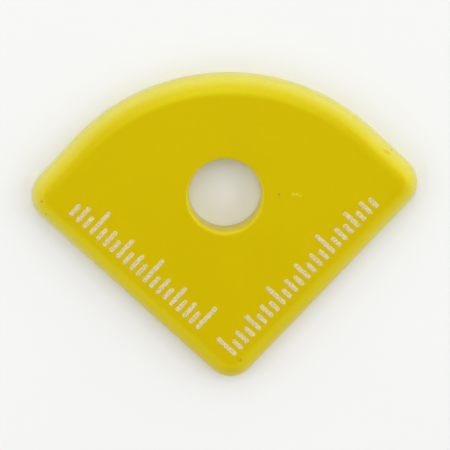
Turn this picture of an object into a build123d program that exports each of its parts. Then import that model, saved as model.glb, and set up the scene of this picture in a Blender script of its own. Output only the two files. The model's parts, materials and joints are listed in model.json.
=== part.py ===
from build123d import *
import os

# Moulded end cap for a quarter-round slotted profile.
#
# The cap is a flat plate. Its outline is a square with one corner rounded by a large radius and the
# other three by small ones. The front edge is softened all the way round, and one hole for a push-in
# fastener goes through it, a little off the middle of the square. Two rows of plain graduation ticks
# stand a few hundredths of a millimetre proud of the front face, along the two full-length straight
# sides. Left and right are as seen from the front, with the large-radius corner at the top.
#
# Frame: origin on the axis of the fastener hole, in the plane of the flat back face. +Z leaves the
# front face, and X and Y run along the straight sides. The large-radius corner is at +X +Y.

# Driving dimensions, in millimetres
SIDE = 25.4  # side of the square that the outline is cut from
HOLE_TO_SIDE = 12.5  # hole's axis to each full-length straight side
THICKNESS = 2.4  # back face to front face
ARC_RADIUS = 18.5  # large corner, at +X +Y
OUTER_CORNER_RADIUS = 2.35  # the two corners at the ends of the arc
APEX_RADIUS = 2.25  # the corner opposite the arc
FRONT_EDGE_RADIUS = 1.6  # softening of the front face's outer edge
BACK_EDGE_RADIUS = 0.12  # slight break where the mould parts, round the back face

HOLE_DIAMETER = 6.4
HOLE_RIM_RADIUS = 0.45  # softening of the hole's front rim

# Witness marks left in the back face by the mould's ejector pins
EJECTOR_DIAMETER = 2.4
EJECTOR_DEPTH = 0.1
EJECTOR_INSET = 4.1  # pin centre to the nearest straight sides
ARC_EJECTOR_RADIUS = 7.4  # distance of the pin under the arc from the hole's axis

# Graduation ticks, one every thirty-second of an inch
TICK_PITCH = 25.4 / 32
TICK_WIDTH = 0.4
TICK_HEIGHT = 0.05  # how far a tick stands proud of the front face
TICK_INSET = 1.95  # foot of every tick to the straight side it belongs to
TICK_SHARES = {8: 1.0, 4: 0.82, 2: 0.66, 1: 0.5}  # every so many ticks: share of the long length

LEFT_TICKS = 20
LEFT_START = -6.3  # Y of the first tick, nearest the apex
LEFT_LONG_TICK = 2.65
RIGHT_TICKS = 24
RIGHT_START = -9.9  # X of the first tick, nearest the apex
RIGHT_LONG_TICK = 2.3

NEAR_SIDE = -HOLE_TO_SIDE  # X of the left straight side, and Y of the right one
FAR_SIDE = NEAR_SIDE + SIDE  # the arc's ends


def outline():
    """The square with its four corners rounded."""
    middle = (NEAR_SIDE + FAR_SIDE) / 2
    shape = Pos(middle, middle) * Rectangle(SIDE, SIDE)
    radii = {
        (FAR_SIDE, FAR_SIDE): ARC_RADIUS,
        (NEAR_SIDE, FAR_SIDE): OUTER_CORNER_RADIUS,
        (FAR_SIDE, NEAR_SIDE): OUTER_CORNER_RADIUS,
        (NEAR_SIDE, NEAR_SIDE): APEX_RADIUS,
    }
    for corner, radius in radii.items():
        nearest = shape.vertices().sort_by_distance(corner)[0]
        shape = fillet(nearest, radius)
    return shape


def ejector_marks():
    """Shallow round recesses in the back face, near each corner of the outline."""
    near = NEAR_SIDE + EJECTOR_INSET
    far = FAR_SIDE - EJECTOR_INSET
    arc_side = ARC_EJECTOR_RADIUS / 2**0.5
    places = [(near, near), (near, far), (far, near), (arc_side, arc_side)]
    pin = Cylinder(EJECTOR_DIAMETER / 2, 2 * EJECTOR_DEPTH)
    return [Pos(x, y, 0) * pin for x, y in places]


def cap_plate():
    """The moulded plate with its softened edges, its hole and the ejector marks."""
    plate = extrude(outline(), THICKNESS)
    plate = fillet(plate.faces().sort_by(Axis.Z)[-1].edges(), FRONT_EDGE_RADIUS)
    plate = fillet(plate.faces().sort_by(Axis.Z)[0].edges(), BACK_EDGE_RADIUS)
    plate -= Cylinder(HOLE_DIAMETER / 2, 4 * THICKNESS)
    rim = plate.faces().sort_by(Axis.Z)[-1].edges().filter_by(GeomType.CIRCLE)
    rim = rim.sort_by(lambda edge: edge.center(CenterOf.BOUNDING_BOX).length)[0]
    plate = fillet(rim, HOLE_RIM_RADIUS)
    for mark in ejector_marks():
        plate -= mark
    return plate


def tick_length(index, longest):
    """A quarter inch has the longest tick, then an eighth, a sixteenth and a thirty-second."""
    step = next(step for step in TICK_SHARES if index % step == 0)
    return longest * TICK_SHARES[step]


def tick(length):
    """One round-ended tick standing on the front face, its foot at the origin, running along +X."""
    stroke = Pos(length / 2, 0, THICKNESS) * SlotOverall(length, TICK_WIDTH)
    return extrude(stroke, TICK_HEIGHT)


def left_graduations():
    """Ticks along the straight side at -X, counted from the apex."""
    foot = NEAR_SIDE + TICK_INSET
    return [
        Pos(foot, LEFT_START + i * TICK_PITCH, 0) * tick(tick_length(i, LEFT_LONG_TICK))
        for i in range(LEFT_TICKS)
    ]


def right_graduations():
    """Ticks along the straight side at -Y, counted from the apex."""
    foot = NEAR_SIDE + TICK_INSET
    return [
        Pos(RIGHT_START + i * TICK_PITCH, foot, 0)
        * Rot(0, 0, 90)
        * tick(tick_length(i, RIGHT_LONG_TICK))
        for i in range(RIGHT_TICKS)
    ]


def write(name, shapes):
    """One STEP file per node, holding one solid or a group of separate solids."""
    solids = [solid for shape in shapes for solid in shape.solids()]
    node = solids[0] if len(solids) == 1 else Compound(children=solids)
    node.label = name
    export_step(node, f"parts/{name}.step")


def main():
    os.makedirs("parts", exist_ok=True)
    write("cap_plate", [cap_plate()])
    write("left_graduations", left_graduations())
    write("right_graduations", right_graduations())


main()
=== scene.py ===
import json
import math

import bmesh
import bpy
import numpy as np
from mathutils import Matrix, Vector, noise


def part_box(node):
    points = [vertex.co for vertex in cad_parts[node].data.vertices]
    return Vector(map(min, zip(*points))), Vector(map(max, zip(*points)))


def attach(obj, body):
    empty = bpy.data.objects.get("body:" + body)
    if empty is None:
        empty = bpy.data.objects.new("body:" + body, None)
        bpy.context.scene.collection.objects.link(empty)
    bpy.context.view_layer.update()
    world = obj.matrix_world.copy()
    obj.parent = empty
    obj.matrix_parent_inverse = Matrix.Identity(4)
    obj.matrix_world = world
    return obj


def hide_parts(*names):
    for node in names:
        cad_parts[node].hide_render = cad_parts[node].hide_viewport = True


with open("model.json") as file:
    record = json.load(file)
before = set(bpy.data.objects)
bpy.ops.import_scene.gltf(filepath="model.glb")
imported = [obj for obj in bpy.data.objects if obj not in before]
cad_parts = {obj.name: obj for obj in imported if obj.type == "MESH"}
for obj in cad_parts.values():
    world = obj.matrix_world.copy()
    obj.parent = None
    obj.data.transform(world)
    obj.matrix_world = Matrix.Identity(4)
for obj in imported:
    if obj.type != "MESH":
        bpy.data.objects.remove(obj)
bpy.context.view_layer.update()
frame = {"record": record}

# Looks of the quarter-round profile end cap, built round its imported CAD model.
#
# Every length below is in millimetres unless its name says otherwise, and to_metres() turns a finished
# mesh into the frame's metres. The frame: origin on the hole's axis in the back face's plane, +Z out of
# the front face, and the large-radius corner at +X +Y.

MM = 0.001

# The plate's own dimensions, from the frame where it has them
PLATE_LOW, PLATE_HIGH = (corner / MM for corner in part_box("cap_plate"))
NEAR_SIDE = PLATE_LOW.x
FAR_SIDE = PLATE_HIGH.x
THICKNESS = PLATE_HIGH.z
MOUNTS = {mount["name"]: mount for mount in frame["record"]["mounts"]}
HOLE_RADIUS = MOUNTS["fastener_hole"]["dims"]["r_mm"]
ARC_RADIUS = 18.5
OUTER_CORNER_RADIUS = 2.35
APEX_RADIUS = 2.25
FRONT_EDGE_RADIUS = 1.6
FRONT_EDGE_EASE = 0.82  # 1 for a plain arc; less makes the edge bend more gently where it leaves the face
BACK_EDGE_RADIUS = 0.12
HOLE_RIM_RADIUS = THICKNESS - MOUNTS["fastener_hole"]["dims"]["length_mm"]
HOLE_BACK_BREAK = 0.05

EJECTOR_RADIUS = 1.2
EJECTOR_DEPTH = 0.1
EJECTOR_SOFT = 0.04  # how soft the mark's rim and its floor's edge are
EJECTOR_INSET = 4.1
ARC_EJECTOR_RADIUS = 7.4

# Mesh density
OUTLINE_STEP = 0.125
FACE_RINGS = 68
FILLET_STEPS = 14
FILLET_FINE = 20  # steps of the sum that shapes the front edge, for each ring on it
WALL_STEPS = 4
EJECTOR_POINTS = 48
SHARP_ANGLE = 50  # edges that turn more than this, in degrees, stay sharp

# Graduation strokes
TICK_PITCH = 25.4 / 32
TICK_WIDTH = 0.4
TICK_HEIGHT = 0.05
TICK_SHARES = {8: 1.0, 4: 0.82, 2: 0.66, 1: 0.5}
STROKE_STEP = 0.05


# ---------------------------------------------------------------- meshes

def smooth(t):
    """0 below 0, 1 above 1 and a smooth rise between."""
    t = np.clip(t, 0, 1)
    return t * t * (3 - 2 * t)


def between(start, end):
    """Evenly spaced points on the straight line from start to end, without the two ends."""
    count = round(np.linalg.norm(end - start) / OUTLINE_STEP)
    return [start + (end - start) * k / count for k in range(1, count)]


def outline():
    """Points of the plate's outline, anticlockwise, and the outward normal at each."""
    corners = [
        (FAR_SIDE, FAR_SIDE, ARC_RADIUS, 0),
        (NEAR_SIDE, FAR_SIDE, OUTER_CORNER_RADIUS, 90),
        (NEAR_SIDE, NEAR_SIDE, APEX_RADIUS, 180),
        (FAR_SIDE, NEAR_SIDE, OUTER_CORNER_RADIUS, 270),
    ]
    points, normals = [], []
    for x, y, radius, start in corners:
        centre = np.array([x - math.copysign(radius, x), y - math.copysign(radius, y)])
        steps = max(12, round(radius * math.pi / 2 / OUTLINE_STEP))
        for angle in np.radians(np.linspace(start, start + 90, steps + 1)):
            normal = np.array([math.cos(angle), math.sin(angle)])
            here = centre + radius * normal
            side = between(points[-1], here) if points else []
            points += side + [here]
            normals += [normal] * (len(side) + 1)
    side = between(points[-1], points[0])
    return np.array(points + side), np.array(normals + [normals[0]] * len(side))


def front_edge():
    """Inset and drop of points on the softened front edge, from the face to the top of the wall."""
    share = np.linspace(0, 1, FILLET_STEPS * FILLET_FINE + 1)
    turn = np.radians(90) * (FRONT_EDGE_EASE * share + (1 - FRONT_EDGE_EASE) * share**2)
    middle = (turn[1:] + turn[:-1]) / 2
    along = np.concatenate([[0], np.cumsum(np.cos(middle))])
    drop = np.concatenate([[0], np.cumsum(np.sin(middle))])
    scale = FRONT_EDGE_RADIUS / drop[-1]
    inset = (along[-1] - along) * scale
    return inset[::FILLET_FINE], drop[::FILLET_FINE] * scale


def plate_rings():
    """Rings of points from the back edge, up the wall, over the front face and down the hole."""
    points, normals = outline()
    facing = np.arctan2(points[:, 1], points[:, 0])
    around = np.stack([np.cos(facing), np.sin(facing)], axis=1)
    quarter = np.radians(np.linspace(0, 90, FILLET_STEPS + 1))
    rings = []

    def edge_ring(inset, height):
        flat = points - inset * normals
        rings.append(np.column_stack([flat, np.full(len(flat), height)]))

    def hole_ring(radius, height):
        rings.append(np.column_stack([radius * around, np.full(len(around), height)]))

    for angle in quarter[:: FILLET_STEPS // 2]:
        edge_ring(BACK_EDGE_RADIUS * (1 - math.sin(angle)), BACK_EDGE_RADIUS * (1 - math.cos(angle)))
    wall_top = THICKNESS - FRONT_EDGE_RADIUS
    for height in np.linspace(BACK_EDGE_RADIUS, wall_top, WALL_STEPS + 1)[1:-1]:
        edge_ring(0, height)
    insets, drops = front_edge()
    for inset, drop in zip(insets[::-1], drops[::-1]):
        edge_ring(inset, THICKNESS - drop)
    outer = points - insets[0] * normals
    inner = (HOLE_RADIUS + HOLE_RIM_RADIUS) * around
    for share in np.linspace(0, 1, FACE_RINGS + 1)[1:-1]:
        flat = outer * (1 - share) + inner * share
        rings.append(np.column_stack([flat, np.full(len(flat), THICKNESS)]))
    for angle in quarter[::2]:
        radius = HOLE_RADIUS + HOLE_RIM_RADIUS * (1 - math.sin(angle))
        hole_ring(radius, THICKNESS - HOLE_RIM_RADIUS * (1 - math.cos(angle)))
    for height in np.linspace(THICKNESS - HOLE_RIM_RADIUS, HOLE_BACK_BREAK, WALL_STEPS + 1)[1:]:
        hole_ring(HOLE_RADIUS, height)
    hole_ring(HOLE_RADIUS + HOLE_BACK_BREAK, 0)
    return rings


def ring_faces(count, rings):
    """Quads between neighbouring closed rings of count points each, first vertex 0."""
    faces = []
    for ring in range(rings - 1):
        low, high = ring * count, (ring + 1) * count
        for k in range(count):
            after = (k + 1) % count
            faces.append((low + k, low + after, high + after, high + k))
    return faces


def ejector_places():
    """Middles of the four ejector marks, near each corner of the outline."""
    near = NEAR_SIDE + EJECTOR_INSET
    far = FAR_SIDE - EJECTOR_INSET
    arc_side = ARC_EJECTOR_RADIUS / math.sqrt(2)
    return [(near, near), (near, far), (far, near), (arc_side, arc_side)]


def add_back_face(mesh, first_ring, last_ring):
    """Closes the back between the outer edge and the hole, with the four ejector marks sunk in it."""
    edges = []

    def loop_edges(loop):
        for a, b in zip(loop, loop[1:] + loop[:1]):
            edges.append(mesh.edges.get((a, b)) or mesh.edges.new((a, b)))

    loop_edges(first_ring)
    loop_edges(last_ring)
    steps, soft = EJECTOR_POINTS, EJECTOR_SOFT
    profile = [(0, 0), (soft, soft / 2), (soft * 1.3, EJECTOR_DEPTH - soft / 2), (soft * 2.3, EJECTOR_DEPTH)]
    for x, y in ejector_places():
        loops = []
        for inset, height in profile:
            loop = []
            for k in range(steps):
                angle = 2 * math.pi * k / steps
                radius = EJECTOR_RADIUS - inset
                place = (x + radius * math.cos(angle), y + radius * math.sin(angle), height)
                loop.append(mesh.verts.new(place))
            loops.append(loop)
        loop_edges(loops[0])
        for outer, inner in zip(loops, loops[1:]):
            for k in range(steps):
                after = (k + 1) % steps
                mesh.faces.new((outer[k], inner[k], inner[after], outer[after]))
        mesh.faces.new(list(reversed(loops[-1])))
    bmesh.ops.triangle_fill(mesh, use_beauty=True, edges=edges, normal=(0, 0, -1))


# Small damage on the front: place, radius and height, a dent where the height is negative
BURRS = [
    ((4.13, -4.30, THICKNESS), 0.20, 0.014),
    ((4.36, -4.52, THICKNESS), 0.17, 0.020),
    ((4.44, -4.82, THICKNESS), 0.16, 0.016),
    ((3.27, -3.40, THICKNESS), 0.16, -0.030),
    ((12.80, -8.08, 1.26), 0.30, -0.060),
    ((12.42, -7.84, 1.88), 0.28, -0.035),
]
SINK_DEPTH = 0.012  # of the face, round the hole
SINK_FROM = 0.35  # share of the way to the square's sides where the sink starts to fade
SINK_FADE = 0.6  # share over which it fades
FACE_BAND = 0.02  # the sink fades out over this much below the face
WAVE_HEIGHT = 0.0016
WAVE_LENGTH = 2.2


def weather(points, normals):
    """Moulding sink, the faint waviness of a moulded face, and the small damage."""
    moved = points.copy()
    for k, (point, normal) in enumerate(zip(points, normals)):
        wave = noise.noise(Vector(point / WAVE_LENGTH)) * WAVE_HEIGHT
        moved[k] += normal * wave
    on_face = smooth((points[:, 2] - (THICKNESS - FACE_BAND)) / FACE_BAND)
    reach = np.linalg.norm(points[:, :2], axis=1) / FAR_SIDE
    moved[:, 2] -= on_face * SINK_DEPTH * (1 - smooth((reach - SINK_FROM) / SINK_FADE))
    for place, radius, height in BURRS:
        near = np.linalg.norm(points - np.array(place), axis=1) / radius
        moved += normals * (height * (1 - smooth(near)))[:, None]
    return np.clip(moved, PLATE_LOW, [PLATE_HIGH.x, PLATE_HIGH.y, THICKNESS + TICK_HEIGHT])


def to_metres(mesh, name):
    """A finished bmesh, in millimetres, as a smooth-shaded object in the frame's metres."""
    bmesh.ops.recalc_face_normals(mesh, faces=mesh.faces)
    data = bpy.data.meshes.new(name)
    mesh.to_mesh(data)
    mesh.free()
    data.transform(Matrix.Scale(MM, 4))
    data.shade_smooth()
    piece = bpy.data.objects.new(name, data)
    bpy.context.scene.collection.objects.link(piece)
    return piece


def make_plate():
    """The moulded plate: rings of quads, weathered, and closed by the back face."""
    rings = plate_rings()
    count = len(rings[0])
    grid = np.concatenate(rings).reshape(len(rings), count, 3)
    along = np.roll(grid, -1, axis=1) - np.roll(grid, 1, axis=1)
    across = np.gradient(grid, axis=0)
    normals = np.cross(along, across)
    normals /= np.maximum(np.linalg.norm(normals, axis=2, keepdims=True), 1e-12)
    moved = weather(grid.reshape(-1, 3), normals.reshape(-1, 3))
    mesh = bmesh.new()
    verts = [mesh.verts.new(point) for point in moved]
    for face in ring_faces(count, len(rings)):
        mesh.faces.new([verts[k] for k in face])
    add_back_face(mesh, verts[:count], verts[-count:])
    plate = to_metres(mesh, "moulded_plate")
    plate.data.set_sharp_from_angle(angle=math.radians(SHARP_ANGLE))
    return plate


def stroke_outline(length):
    """Points round a round-ended stroke along +X, and the point of its spine that each belongs to."""
    half = TICK_WIDTH / 2
    straight = round((length - TICK_WIDTH) / STROKE_STEP)
    turn = round(math.pi * half / STROKE_STEP)
    run = np.linspace(half, length - half, straight + 1)
    ends = np.radians(np.linspace(-90, 90, turn + 1))[1:-1]
    points = [(x, -half) for x in run]
    points += [(length - half + half * math.cos(angle), half * math.sin(angle)) for angle in ends]
    points += [(x, half) for x in run[::-1]]
    points += [(half - half * math.cos(angle), -half * math.sin(angle)) for angle in ends]
    points = np.array(points)
    spine = np.column_stack([np.clip(points[:, 0], half, length - half), np.zeros(len(points))])
    return points, spine


# A stroke's cross-section, from its root in the plate to its crown: reach from the spine, height
STROKE_PROFILE = [(1.0, -0.06), (1.14, 0.0), (1.10, 0.10), (0.98, 0.45), (0.86, 0.72)]
STROKE_PROFILE += [(0.68, 0.88), (0.45, 0.95), (0.2, 0.97), (0.0, 0.97)]
RAGGED = 0.30  # how far the outline wanders, as a share of the reach
RAGS_PER_MM = 6
PITTED = 0.55  # how deep the pits go, as a share of the stroke's height
PITS_PER_MM = 9


def add_stroke(mesh, foot, turned, length, seed):
    """One foamed stroke: a low crown on a burnt foot, ragged at its edge and pitted on top."""
    points, spine = stroke_outline(length)
    turn = Matrix.Rotation(math.radians(90) if turned else 0, 3, "Z")
    base = Vector((foot[0], foot[1], THICKNESS))
    loops = []
    for reach, lift in STROKE_PROFILE:
        loop = []
        for point, middle in zip(points, spine):
            rough = 1 + RAGGED * noise.noise(Vector((*point * RAGS_PER_MM, seed)))
            flat = middle + (point - middle) * reach * rough
            pit = max(0, noise.noise(Vector((*flat * PITS_PER_MM, seed + 0.5))))
            height = lift if lift < 0 else lift * TICK_HEIGHT * (1 - PITTED * pit)
            loop.append(mesh.verts.new(turn @ Vector((flat[0], flat[1], height)) + base))
        loops.append(loop)
    for outer, inner in zip(loops, loops[1:]):
        for k in range(len(outer)):
            after = (k + 1) % len(outer)
            mesh.faces.new((outer[k], outer[after], inner[after], inner[k]))
    mesh.faces.new(list(reversed(loops[0])))
    bmesh.ops.remove_doubles(mesh, verts=loops[-1], dist=1e-4)


def make_strokes(node, name, turned, seed):
    """The strokes that stand for one row of ticks: along Y from the apex, or along X if turned."""
    low, high = (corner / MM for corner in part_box(node))
    along = 0 if turned else 1
    across = 1 - along
    longest = high[across] - low[across]
    count = round((high[along] - low[along] - TICK_WIDTH) / TICK_PITCH) + 1
    mesh = bmesh.new()
    for index in range(count):
        step = next(step for step in TICK_SHARES if index % step == 0)
        foot = [0, 0]
        foot[along] = low[along] + TICK_WIDTH / 2 + index * TICK_PITCH
        foot[across] = low[across]
        add_stroke(mesh, foot, turned, longest * TICK_SHARES[step], seed + index)
    return to_metres(mesh, name)


# ---------------------------------------------------------------- materials

class Nodes:
    """A material's node tree, with a short way to add and link nodes."""

    def __init__(self, name):
        self.material = bpy.data.materials.new(name)
        self.material.use_nodes = True
        self.tree = self.material.node_tree
        self.shader = self.tree.nodes["Principled BSDF"]
        coordinates = self.add("ShaderNodeTexCoord")
        self.place = coordinates.outputs["Object"]
        self.normal = coordinates.outputs["Normal"]

    def add(self, kind, **settings):
        node = self.tree.nodes.new(kind)
        for key, value in settings.items():
            setattr(node, key, value)
        return node

    def feed(self, socket, value):
        """Links value to an input if it is an output, and otherwise sets the input to it."""
        if isinstance(value, bpy.types.NodeSocket):
            self.tree.links.new(value, socket)
        else:
            socket.default_value = value

    def noise(self, size_mm, detail=2.0, roughness=0.5):
        """Noise between 0 and 1 whose features are about size_mm across."""
        mapping = self.add("ShaderNodeMapping")
        mapping.inputs["Scale"].default_value = [1 / (size_mm * MM)] * 3
        self.feed(mapping.inputs["Vector"], self.place)
        texture = self.add("ShaderNodeTexNoise")
        self.feed(texture.inputs["Vector"], mapping.outputs[0])
        texture.inputs["Scale"].default_value = 1
        texture.inputs["Detail"].default_value = detail
        texture.inputs["Roughness"].default_value = roughness
        return texture.outputs["Fac"]

    def spread(self, value, low, high, to_low=0.0, to_high=1.0):
        """value, from low..high, to to_low..to_high, clamped and smooth."""
        node = self.add("ShaderNodeMapRange", interpolation_type="SMOOTHSTEP")
        for socket, number in zip(node.inputs, (value, low, high, to_low, to_high)):
            self.feed(socket, number)
        return node.outputs[0]

    def math(self, operation, a, b=0.0):
        node = self.add("ShaderNodeMath", operation=operation)
        self.feed(node.inputs[0], a)
        self.feed(node.inputs[1], b)
        return node.outputs[0]

    def mix(self, share, a, b):
        """Colour a where share is 0 and colour b where it is 1."""
        node = self.add("ShaderNodeMix", data_type="RGBA")
        self.feed(node.inputs["Factor"], share)
        self.feed(node.inputs[6], a)
        self.feed(node.inputs[7], b)
        return node.outputs[2]

    def away(self, place_mm):
        """Distance, in metres and across the face, from an upright line through a place."""
        flat = self.add("ShaderNodeVectorMath", operation="MULTIPLY")
        self.feed(flat.inputs[0], self.place)
        flat.inputs[1].default_value = (1, 1, 0)
        distance = self.add("ShaderNodeVectorMath", operation="DISTANCE")
        self.feed(distance.inputs[0], flat.outputs[0])
        distance.inputs[1].default_value = (place_mm[0] * MM, place_mm[1] * MM, 0)
        return distance.outputs["Value"]

    def spot(self, place_mm, radius_mm):
        """1 at a place on the piece, falling to 0 at radius_mm from it."""
        distance = self.add("ShaderNodeVectorMath", operation="DISTANCE")
        self.feed(distance.inputs[0], self.place)
        distance.inputs[1].default_value = [c * MM for c in place_mm]
        return self.spread(distance.outputs["Value"], radius_mm * MM * 0.3, radius_mm * MM, 1, 0)

    def pits(self, spacing_mm, radius, share):
        """1 in small round pits about spacing_mm apart; radius is in spacings, and share of them show."""
        mapping = self.add("ShaderNodeMapping")
        mapping.inputs["Scale"].default_value = [1 / (spacing_mm * MM)] * 3
        self.feed(mapping.inputs["Vector"], self.place)
        cells = self.add("ShaderNodeTexVoronoi")
        self.feed(cells.inputs["Vector"], mapping.outputs[0])
        cells.inputs["Scale"].default_value = 1
        draw = self.add("ShaderNodeSeparateColor")
        self.feed(draw.inputs[0], cells.outputs["Color"])
        shown = self.math("LESS_THAN", draw.outputs[0], share)
        round_pit = self.spread(cells.outputs["Distance"], radius, radius * 2, 1, 0)
        return self.math("MULTIPLY", shown, round_pit)

    def tilt(self):
        """0 on the flat faces and 1 on the walls: 1 - |normal Z|."""
        split = self.add("ShaderNodeSeparateXYZ")
        self.feed(split.inputs[0], self.normal)
        return self.math("SUBTRACT", 1.0, self.math("ABSOLUTE", split.outputs["Z"]))

    def bump(self, height, depth_mm, normal=None):
        """A normal bumped by height, from 0 to 1, over depth_mm; normal is one to add it to."""
        node = self.add("ShaderNodeBump")
        node.inputs["Strength"].default_value = 1
        node.inputs["Distance"].default_value = depth_mm * MM
        self.feed(node.inputs["Height"], height)
        if normal is not None:
            self.feed(node.inputs["Normal"], normal)
        return node.outputs[0]


YELLOW_DEEP = (0.581, 0.424, 0.0001, 1)
YELLOW_LIGHT = (0.599, 0.440, 0.0003, 1)
# painted highlight: a paler, whiter yellow for the edges that catch the light
YELLOW_PAINTED_HIGHLIGHT = (0.634, 0.562, 0.1050, 1)
SPECK = (0.330, 0.245, 0.010, 1)
SCUFF = (0.720, 0.600, 0.070, 1)
SPECKS = [  # place and radius
    ((-11.31, 11.44, 2.18), 0.18),
    ((-11.94, 10.36, 2.0), 0.14),
    ((-9.98, -11.16, 2.36), 0.19),
    ((3.27, -3.40, 2.38), 0.17),
    ((12.80, -8.08, 1.26), 0.17),
]
HIGHLIGHT_GAPS = [  # place and radius where the painted edge highlight is left out, over the dent on the arc's end
    ((12.36, -7.66, 1.92), 0.24),
    ((12.41, -7.83, 1.89), 0.28),
    ((12.42, -8.02, 1.88), 0.24),
]
SPECK_STRENGTH = 0.8
SCUFF_STRENGTH = 0.6

HIGHLIGHT_TILT = 0.45  # 1 - |normal Z| where the painted highlight on the edge is at its strongest
HOLE_HIGHLIGHT_SHARE = 0.25  # the painted highlight on the hole's rim and wall is this share of that on the outer edge
HIGHLIGHT_FROM = -13.0  # the painted highlight starts here, measured from the hole's axis toward the arc, the side the light comes from
HIGHLIGHT_FULL = 4.5  # and is full here
HIGHLIGHT_PATCH_SIZE = 0.2
HIGHLIGHT_PATCH_LEAST = 0.75  # the painted highlight's share where it is thinnest

FLOW_SIZE = 6
MOTTLE_SIZE = 0.25
SHINE_SIZE = 0.4
ROUGHNESS_LOW = 0.28
ROUGHNESS_HIGH = 0.32
GRAIN_SIZE = 0.16
GRAIN_DEPTH = 0.035
GRAIN_ON_FACE = 0.2  # the grain's share on the flat face
GRAIN_TILT = 0.1  # 1 - |normal Z| where the grain is at its full depth
PEEL_SIZE = 0.9
PEEL_DEPTH = 0.006
YELLOW_IOR = 1.55
YELLOW_GLOSS_TINT = (0.69, 1.0, 0.07, 1)


def painted_edge_highlight(made):
    """Share of the painted highlight on the moulded edge: most along the arc, less down the sides, least at
    apex and hole.
    """
    edge = made.spread(made.tilt(), 0.0, HIGHLIGHT_TILT)
    near_hole = (HOLE_RADIUS + HOLE_RIM_RADIUS) * MM
    hole = made.spread(made.away((0, 0)), near_hole, near_hole + MM, HOLE_HIGHLIGHT_SHARE, 1)
    toward_arc = made.add("ShaderNodeVectorMath", operation="DOT_PRODUCT")
    made.feed(toward_arc.inputs[0], made.place)
    toward_arc.inputs[1].default_value = (math.sqrt(0.5), math.sqrt(0.5), 0)
    along = made.spread(toward_arc.outputs["Value"], HIGHLIGHT_FROM * MM, HIGHLIGHT_FULL * MM)
    return made.math("MULTIPLY", edge, made.math("MULTIPLY", hole, along))


def yellow_colour(made):
    """Mottled yellow, with a painted highlight on the moulded edge, left out over a dent, and the specks and
    scuffs.
    """
    flow = made.mix(made.spread(made.noise(FLOW_SIZE, 2), 0.35, 0.65), YELLOW_DEEP, YELLOW_LIGHT)
    fine = made.mix(made.spread(made.noise(MOTTLE_SIZE, 2), 0.3, 0.7), YELLOW_DEEP, YELLOW_LIGHT)
    colour = made.mix(0.5, flow, fine)
    highlight_patches = made.spread(made.noise(HIGHLIGHT_PATCH_SIZE, 2), 0.3, 0.7, HIGHLIGHT_PATCH_LEAST, 1)
    # painted highlight on the moulded edge, strongest toward the arc, where the light comes from
    colour = made.mix(made.math("MULTIPLY", painted_edge_highlight(made), highlight_patches), colour, YELLOW_PAINTED_HIGHLIGHT)
    # the painted edge highlight is left out over the dent on the arc's end, so the dent shows deep yellow
    for place, radius in HIGHLIGHT_GAPS:
        colour = made.mix(made.spot(place, radius), colour, YELLOW_DEEP)
    for place, radius in SPECKS:
        colour = made.mix(made.math("MULTIPLY", made.spot(place, radius), SPECK_STRENGTH), colour, SPECK)
    for place, radius, height in BURRS:
        if height > 0:
            share = made.math("MULTIPLY", made.spot(place, radius), SCUFF_STRENGTH)
            colour = made.mix(share, colour, SCUFF)
    return colour


def yellow_plastic():
    """Satin moulded plastic: mottled colour, a fine spark-eroded grain, and a slight orange peel."""
    made = Nodes("satin_yellow")
    made.feed(made.shader.inputs["Base Color"], yellow_colour(made))
    rough = made.spread(made.noise(SHINE_SIZE, 2), 0.2, 0.8, ROUGHNESS_LOW, ROUGHNESS_HIGH)
    made.feed(made.shader.inputs["Roughness"], rough)
    depth = made.spread(made.tilt(), 0.0, GRAIN_TILT, GRAIN_ON_FACE, 1.0)
    grain = made.bump(made.math("MULTIPLY", made.noise(GRAIN_SIZE, 2), depth), GRAIN_DEPTH)
    peel = made.bump(made.noise(PEEL_SIZE, 2), PEEL_DEPTH, grain)
    made.feed(made.shader.inputs["Normal"], peel)
    made.shader.inputs["IOR"].default_value = YELLOW_IOR
    made.shader.inputs["Specular IOR Level"].default_value = 1.0
    made.shader.inputs["Specular Tint"].default_value = YELLOW_GLOSS_TINT
    return made.material


CREAM = (0.560, 0.470, 0.180, 1)
CREAM_LIGHT = (0.660, 0.585, 0.320, 1)
CREAM_BURNT = (0.300, 0.260, 0.120, 1)
CREAM_FOOT = (0.440, 0.330, 0.015, 1)
CREAM_ROUGH_SIZE = 0.2
CREAM_ROUGH_LOW = 0.7
CREAM_ROUGH_HIGH = 0.9
FOOT_HEIGHT = 0.02  # how far up a stroke the darker foot reaches
FOAM_SIZE = 0.16
FOAM_BUMP_SIZE = 0.1
FOAM_DEPTH = 0.02
PIT_RADIUS = 0.18  # in spacings of the pits
PIT_SHARE = 0.55  # of the pits that show


def cream_marking():
    """Foamed plastic: off-white and matt, with burnt pits and a darker foot where it meets the yellow."""
    made = Nodes("foamed_cream")
    colour = made.mix(made.spread(made.noise(FOAM_SIZE, 3, 0.6), 0.4, 0.65), CREAM, CREAM_LIGHT)
    colour = made.mix(made.pits(FOAM_SIZE, PIT_RADIUS, PIT_SHARE), colour, CREAM_BURNT)
    height = made.add("ShaderNodeSeparateXYZ")
    made.feed(height.inputs[0], made.place)
    foot = made.spread(height.outputs["Z"], THICKNESS * MM, (THICKNESS + FOOT_HEIGHT) * MM, 1, 0)
    made.feed(made.shader.inputs["Base Color"], made.mix(foot, colour, CREAM_FOOT))
    rough = made.spread(made.noise(CREAM_ROUGH_SIZE), 0.3, 0.7, CREAM_ROUGH_LOW, CREAM_ROUGH_HIGH)
    made.feed(made.shader.inputs["Roughness"], rough)
    made.feed(made.shader.inputs["Normal"], made.bump(made.noise(FOAM_BUMP_SIZE, 3, 0.7), FOAM_DEPTH))
    return made.material


FLOOR_DARK = (0.80, 0.80, 0.79, 1)
FLOOR_LIGHT = (0.82, 0.82, 0.81, 1)
FLOOR_MOTTLE_SIZE = 40


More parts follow.
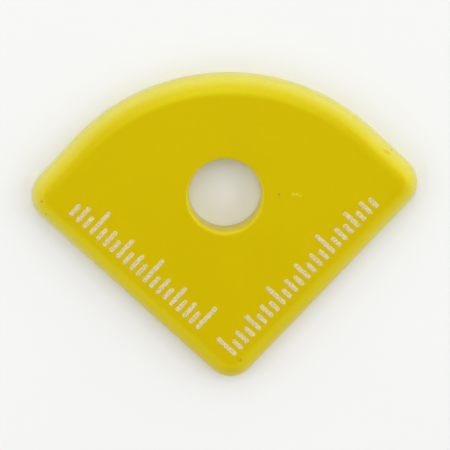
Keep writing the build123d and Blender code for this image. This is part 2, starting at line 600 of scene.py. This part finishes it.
def pale_floor():
    """Plain matt paper."""
    made = Nodes("pale_floor")
    colour = made.mix(made.noise(FLOOR_MOTTLE_SIZE, 2), FLOOR_DARK, FLOOR_LIGHT)
    made.feed(made.shader.inputs["Base Color"], colour)
    made.shader.inputs["Roughness"].default_value = 0.9
    made.shader.inputs["Specular IOR Level"].default_value = 0.2
    return made.material


# ---------------------------------------------------------------- pieces

LEFT_SEED = 10  # of the first stroke's noise; the strokes after it count on
RIGHT_SEED = 60


def dress(piece, node, material):
    """Gives a piece its material, hangs it on the root body and hides the CAD part it stands in for."""
    piece.data.materials.append(material)
    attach(piece, "root")
    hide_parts(node)


marking = cream_marking()
dress(make_plate(), "cap_plate", yellow_plastic())
left_strokes = make_strokes("left_graduations", "left_strokes", False, LEFT_SEED)
dress(left_strokes, "left_graduations", marking)
right_strokes = make_strokes("right_graduations", "right_strokes", True, RIGHT_SEED)
dress(right_strokes, "right_graduations", marking)


# ---------------------------------------------------------------- studio

ARC_HEADING = 45  # the way from the hole to the middle of the arc, in degrees from +X
FLOOR_SIZE_M = 3.0
FLOOR_DROP = 0.01  # below the back face, so that the two never share a plane


def make_floor():
    """A flat sheet just under the cap, much larger than what the camera sees."""
    mesh = bmesh.new()
    bmesh.ops.create_grid(mesh, x_segments=8, y_segments=8, size=FLOOR_SIZE_M / 2 / MM)
    bmesh.ops.translate(mesh, verts=mesh.verts, vec=(0, 0, -FLOOR_DROP))
    floor = to_metres(mesh, "studio_floor")
    floor.data.materials.append(pale_floor())


# The tent's strength low down, at its brightest elevation, and the elevations between which it changes
TENT_LOW = 1.14
TENT_MIDDLE = 1.185
TENT_RISE = (5, 45)
TENT_FALL = (40, 72)

# The tent's darker patch, beyond the apex: heading from the arc side, elevation, half width, share left
SHADE = (180, 15, 32, 0.35)

# Brighter patches of the tent: heading from the arc side, elevation, half width, strength
GLOWS = [
    (0, 25, 35, 0.50),
    (0, 8, 50, 0.10),
    (-75, 8, 50, 0.60),
]

# Softboxes: name, heading from the arc side, elevation and radiance
SOFTBOXES = [
    ("arc_softbox", 0, 58, 0.675),
    ("top_softbox", 0, 74, 1.77),
    ("left_softbox", 75, 40, 0.76),
    ("right_softbox", -75, 40, 1.04),
    ("left_rear_softbox", 130, 40, 0.34),
]
SOFTBOX_DISTANCE_M = 0.35
SOFTBOX_SIZE_M = 0.2


def towards(heading, elevation):
    """The way to a place round the cap. Heading 0 is over the arc, 90 to its left; in degrees."""
    turn, rise = math.radians(ARC_HEADING + heading), math.radians(elevation)
    return Vector((math.cos(turn) * math.cos(rise), math.sin(turn) * math.cos(rise), math.sin(rise)))


def make_world():
    """A light tent: bright low down and round the sides, darker beyond the apex, and dark overhead."""
    world = bpy.data.worlds.new("light_tent")
    world.use_nodes = True
    bpy.context.scene.world = world
    tree = world.node_tree
    background = tree.nodes["Background"]
    background.inputs["Color"].default_value = (1, 1, 1, 1)
    place = tree.nodes.new("ShaderNodeTexCoord").outputs["Generated"]

    def patch(axis, start, end, low, high):
        """Goes from low to high as the cosine of the angle to axis goes from start to end."""
        aim = tree.nodes.new("ShaderNodeVectorMath")
        aim.operation = "DOT_PRODUCT"
        aim.inputs[1].default_value = axis
        tree.links.new(place, aim.inputs[0])
        ramp = tree.nodes.new("ShaderNodeMapRange")
        ramp.interpolation_type = "SMOOTHSTEP"
        tree.links.new(aim.outputs["Value"], ramp.inputs[0])
        for socket, number in zip(ramp.inputs[1:5], (start, end, low, high)):
            socket.default_value = number
        return ramp.outputs[0]

    def join(operation, a, b):
        node = tree.nodes.new("ShaderNodeMath")
        node.operation = operation
        tree.links.new(a, node.inputs[0])
        tree.links.new(b, node.inputs[1])
        return node.outputs[0]

    rise = [math.sin(math.radians(elevation)) for elevation in TENT_RISE]
    fall = [math.sin(math.radians(elevation)) for elevation in TENT_FALL]
    low = patch((0, 0, 1), *rise, TENT_LOW, 0)
    middle = join("MULTIPLY", patch((0, 0, 1), *rise, 0, TENT_MIDDLE), patch((0, 0, 1), *fall, 1, 0))
    heading, elevation, width, left = SHADE
    shade = patch(towards(heading, elevation), math.cos(math.radians(width)), 1, 1, left)
    total = join("MULTIPLY", join("ADD", low, middle), shade)
    for heading, elevation, width, strength in GLOWS:
        glow = patch(towards(heading, elevation), math.cos(math.radians(width)), 1, 0, strength)
        total = join("ADD", total, glow)
    tree.links.new(total, background.inputs["Strength"])


def add_softbox(name, heading, elevation, radiance):
    """A square soft light that faces the cap."""
    lamp = bpy.data.lights.new(name, "AREA")
    lamp.shape = "SQUARE"
    lamp.size = SOFTBOX_SIZE_M
    lamp.energy = radiance * math.pi * SOFTBOX_SIZE_M**2
    light = bpy.data.objects.new(name, lamp)
    away = towards(heading, elevation)
    light.location = away * SOFTBOX_DISTANCE_M
    light.rotation_euler = away.to_track_quat("Z", "Y").to_euler()
    bpy.context.scene.collection.objects.link(light)


# The camera, as it sees the cap with the arc up: degrees off the cap's axis toward the arc and toward
# the left, and degrees of roll
LEAN = 12.317
SIDE_LEAN = 0.826
ROLL = 2.228
CAMERA_DISTANCE = 250.0
AIM_RIGHT = -0.074  # the point looked at, from the square's middle
AIM_UP = -3.417
FRAME_WIDTH_AT_AIM = 39.904  # width of the picture at the point looked at
SENSOR_WIDTH = 36.0


def make_camera():
    """A long lens, nearly straight above the cap, with the arc at the top of the picture."""
    spin = Matrix.Rotation(math.radians(-ARC_HEADING), 3, "Z")
    middle = Vector(((NEAR_SIDE + FAR_SIDE) / 2, (NEAR_SIDE + FAR_SIDE) / 2, 0))
    aim = middle + spin @ Vector((AIM_RIGHT, AIM_UP, 0))
    turn = spin @ Matrix.Rotation(math.radians(-LEAN), 3, "X")
    turn = turn @ Matrix.Rotation(math.radians(-SIDE_LEAN), 3, "Y")
    turn = turn @ Matrix.Rotation(math.radians(-ROLL), 3, "Z")
    data = bpy.data.cameras.new("camera")
    data.sensor_width = SENSOR_WIDTH
    data.lens = SENSOR_WIDTH * CAMERA_DISTANCE / FRAME_WIDTH_AT_AIM
    camera = bpy.data.objects.new("camera", data)
    place = Matrix.Translation((aim + turn @ Vector((0, 0, CAMERA_DISTANCE))) * MM)
    camera.matrix_world = place @ turn.to_4x4()
    bpy.context.scene.collection.objects.link(camera)
    bpy.context.scene.camera = camera


make_floor()
make_world()
for box in SOFTBOXES:
    add_softbox(*box)
make_camera()
bpy.context.scene.view_settings.view_transform = "Standard"
